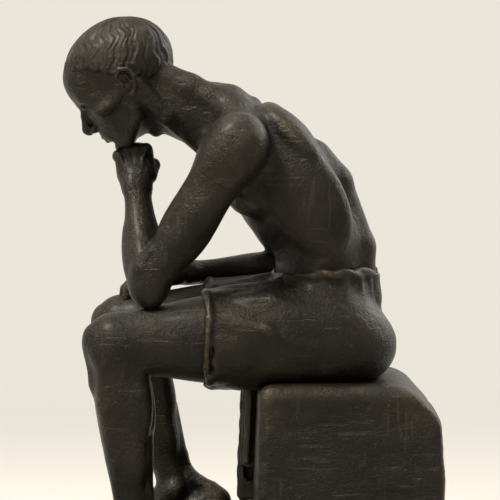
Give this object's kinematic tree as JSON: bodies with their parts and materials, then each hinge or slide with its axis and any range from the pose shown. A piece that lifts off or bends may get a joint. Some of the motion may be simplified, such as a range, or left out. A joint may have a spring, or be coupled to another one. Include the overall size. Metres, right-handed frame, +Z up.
{
  "type": "seated thinking figure statue",
  "caption": "Small dark bronze statue of a seated, thinking figure with chin on fist, on a rock seat and slab base.",
  "frame": {"origin": "middle of the base outline, on the surface that the statue stands on", "axes": "+Z up, -Y the way the figure faces, +X to the figure's left"},
  "size_m": [0.134, 0.2, 0.2638],
  "materials": {
    "rock_bronze": "dark brown patina, satin",
    "figure_bronze": "dark brown patina, satin, rubbed on high spots",
    "pin_bronze": "bare drawn rod",
    "fastener_steel": "zinc plated",
    "plate_steel": "sheared sheet, oiled",
    "felt": "pressed wool felt"
  },
  "bodies": {
    "root": {"rock_base": "rock_bronze", "torso_casting": "figure_bronze", "head_casting": "figure_bronze", "left_arm_casting": "figure_bronze", "right_arm_casting": "figure_bronze", "left_leg_casting": "figure_bronze", "right_leg_casting": "figure_bronze", "lap_cloth_casting": "figure_bronze", "neck_pin": "pin_bronze", "left_shoulder_pin": "pin_bronze", "right_shoulder_pin": "pin_bronze", "left_hip_pin": "pin_bronze", "right_hip_pin": "pin_bronze", "seat_studs": "fastener_steel", "seat_washers": "fastener_steel", "seat_nuts": "fastener_steel", "foot_studs": "fastener_steel", "foot_washers": "fastener_steel", "foot_nuts": "fastener_steel", "closing_plate": "plate_steel", "plate_screws": "fastener_steel", "felt_pad": "felt"}
  },
  "joints": []
}
